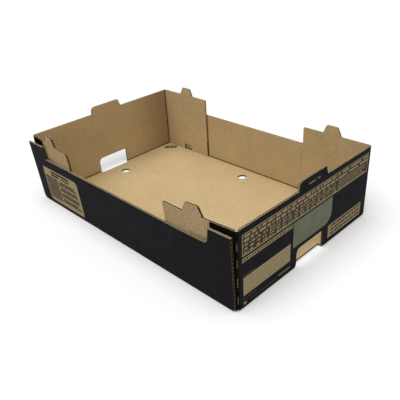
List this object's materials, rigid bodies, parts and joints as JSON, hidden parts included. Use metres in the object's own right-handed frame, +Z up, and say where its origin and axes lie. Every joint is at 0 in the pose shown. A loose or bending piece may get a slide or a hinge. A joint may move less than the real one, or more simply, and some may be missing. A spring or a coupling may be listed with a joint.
{
  "type": "cardboard tray box",
  "caption": "Open-topped stacking tray folded and glued from one sheet of corrugated board, with raised tabs on its end walls and corner flaps.",
  "frame": {"origin": "centre of the base's underside, midway between the end walls' outer faces and between the long walls' creases", "axes": "+Z up from the base, +X along the long walls, +Y from the leaning front wall towards the upright back wall"},
  "size_m": [0.6, 0.4083, 0.1735],
  "materials": {
    "corrugated_board": "matte"
  },
  "bodies": {
    "root": {"folded_tray": "corrugated_board"}
  },
  "joints": []
}
